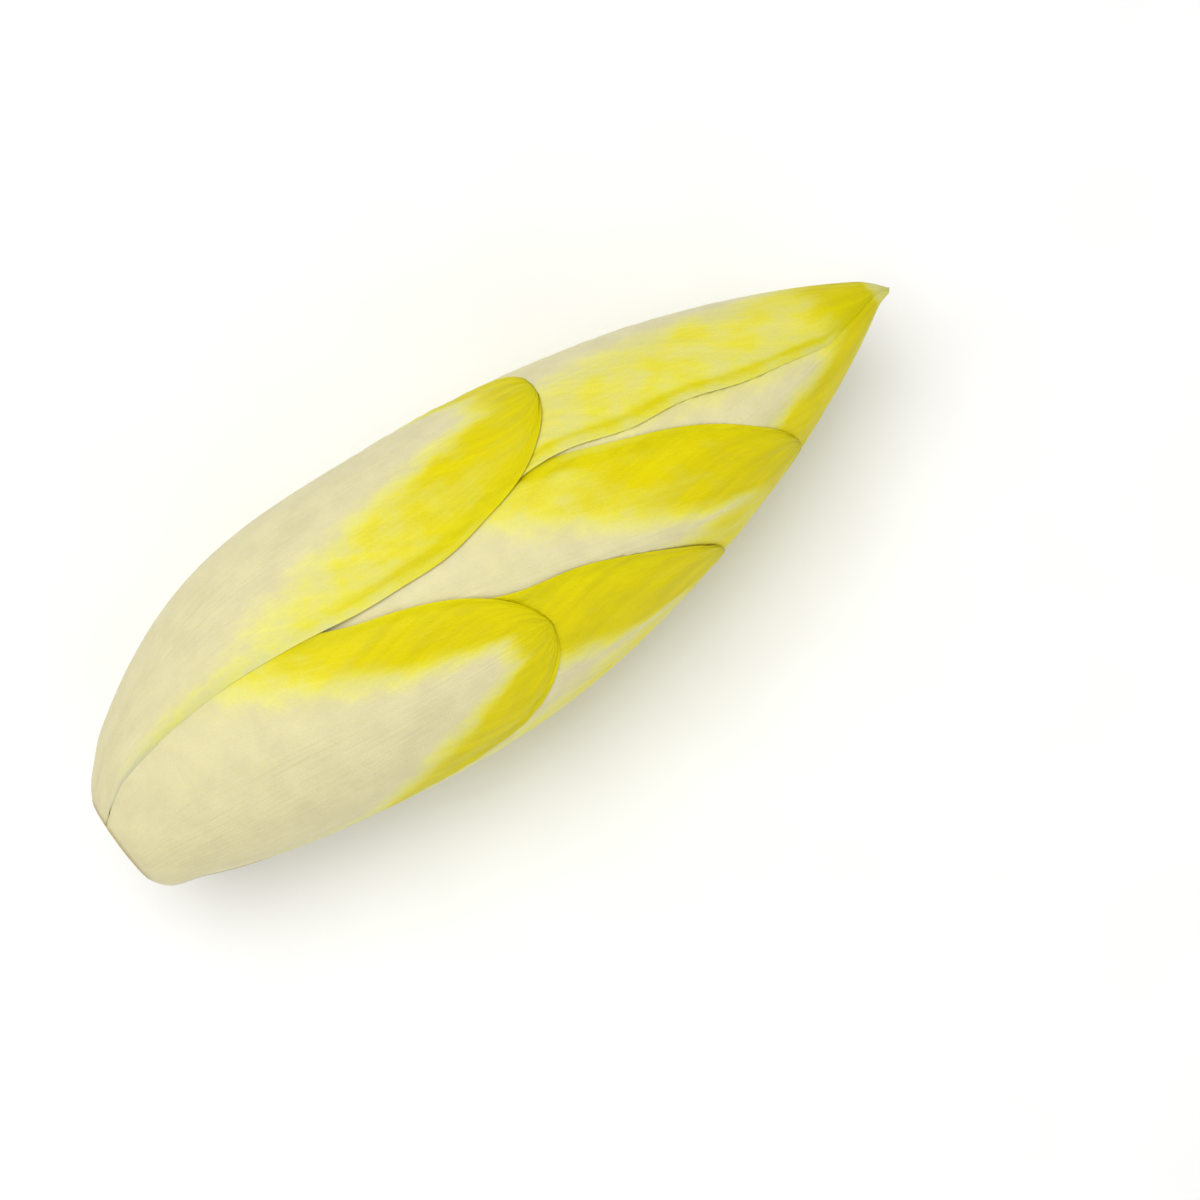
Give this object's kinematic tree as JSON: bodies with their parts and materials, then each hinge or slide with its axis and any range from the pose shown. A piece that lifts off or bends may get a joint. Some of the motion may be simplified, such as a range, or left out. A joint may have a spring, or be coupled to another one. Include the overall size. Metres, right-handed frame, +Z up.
{
  "type": "belgian endive head",
  "caption": "Spindle-shaped head of blanched chicory lying on its side: overlapping waxy cream leaves with yellow tips around a short stem core with a cut base.",
  "frame": {"origin": "on the surface that the head lies on, below the middle of its bounding box", "axes": "+X along the head from the cut base to the tip, +Z up"},
  "size_m": [0.1542, 0.0544, 0.0535],
  "materials": {
    "outer_leaf": "pale cream midrib running to yellow margins, slightly waxy",
    "middle_leaf": "cream midrib, yellow blade, slightly waxy",
    "inner_leaf": "cream and light yellow, moist",
    "heart": "light yellow young leaves, moist",
    "stem": "cut pith, matt, slightly browned"
  },
  "bodies": {
    "root": {"stem_core": "stem", "outer_leaf_01": "outer_leaf", "outer_leaf_02": "outer_leaf", "outer_leaf_03": "outer_leaf", "outer_leaf_04": "outer_leaf", "outer_leaf_05": "outer_leaf", "outer_leaf_06": "outer_leaf", "middle_leaf_07": "middle_leaf", "middle_leaf_08": "middle_leaf", "middle_leaf_09": "middle_leaf", "middle_leaf_10": "middle_leaf", "middle_leaf_11": "middle_leaf", "middle_leaf_12": "middle_leaf", "inner_leaf_13": "inner_leaf", "inner_leaf_14": "inner_leaf", "inner_leaf_15": "inner_leaf", "inner_leaf_16": "inner_leaf", "inner_leaf_17": "inner_leaf", "inner_leaf_18": "inner_leaf", "heart_leaf_19": "heart", "heart_leaf_20": "heart", "heart_leaf_21": "heart", "heart_leaf_22": "heart", "heart_bud": "heart"}
  },
  "joints": []
}
